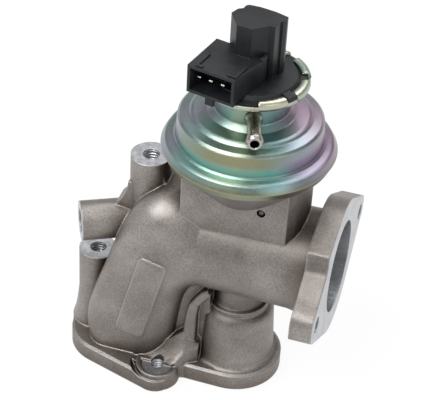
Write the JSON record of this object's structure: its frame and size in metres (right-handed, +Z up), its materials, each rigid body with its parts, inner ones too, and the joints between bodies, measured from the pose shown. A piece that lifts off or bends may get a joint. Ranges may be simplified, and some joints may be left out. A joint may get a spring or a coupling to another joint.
{
  "type": "egr valve",
  "caption": "Vacuum-operated exhaust gas recirculation valve: cast housing with air pipe and elbow, diaphragm actuator, lifting poppet and a position sensor.",
  "frame": {"origin": "valve axis at the housing's base face, in the mouth of the exhaust gas inlet", "axes": "+X along the air pipe to its flange, +Z up the valve axis"},
  "size_m": [0.113, 0.0858, 0.1684],
  "materials": {
    "cast_aluminium": "sand-cast, matt",
    "plated_can": "zinc plated, iridescent",
    "plated_cup": "zinc plated",
    "black_plastic": "moulded, matt",
    "rubber": "matt",
    "bronze": "sintered",
    "spring_steel": "drawn wire",
    "steel": "turned",
    "contact_metal": "tinned",
    "board": "screen printed",
    "grey_plastic": "moulded"
  },
  "bodies": {
    "housing_body": {"actuator_can": "plated_can", "ball_plug": "steel", "diaphragm": "rubber", "guide_bush": "bronze", "housing": "cast_aluminium", "plunger_spring": "spring_steel", "return_spring": "spring_steel", "scraper_ring": "steel", "seal_retainer": "steel", "seat_ring": "steel", "sensor_cup": "plated_cup", "sensor_housing": "black_plastic", "sensor_seal": "rubber", "stem_seal": "rubber", "terminal_1": "contact_metal", "terminal_2": "contact_metal", "terminal_3": "contact_metal", "track_board": "board", "vacuum_nipple": "plated_can"},
    "valve": {"poppet": "steel", "stem": "steel", "lower_plate": "steel", "upper_plate": "steel", "stem_nut": "steel"},
    "plunger": {"sensor_plunger": "grey_plastic", "wiper_carrier": "grey_plastic", "wiper": "contact_metal"}
  },
  "joints": [
    {"name": "valve_lift", "type": "slide", "parent": "housing_body", "child": "valve", "axis": [0, 0, 1], "range_m": [0, 0.0055], "stiffness_N_per_m": 6000, "springref_m": -0.002, "deforming": ["return_spring", "diaphragm"]},
    {"name": "plunger_slide", "type": "slide", "parent": "housing_body", "child": "plunger", "axis": [0, 0, 1], "range_m": [0, 0.0055], "deforming": ["plunger_spring"]}
  ],
  "couplings": [
    {"joint": "plunger_slide", "follows": "valve_lift", "ratio": 1}
  ]
}
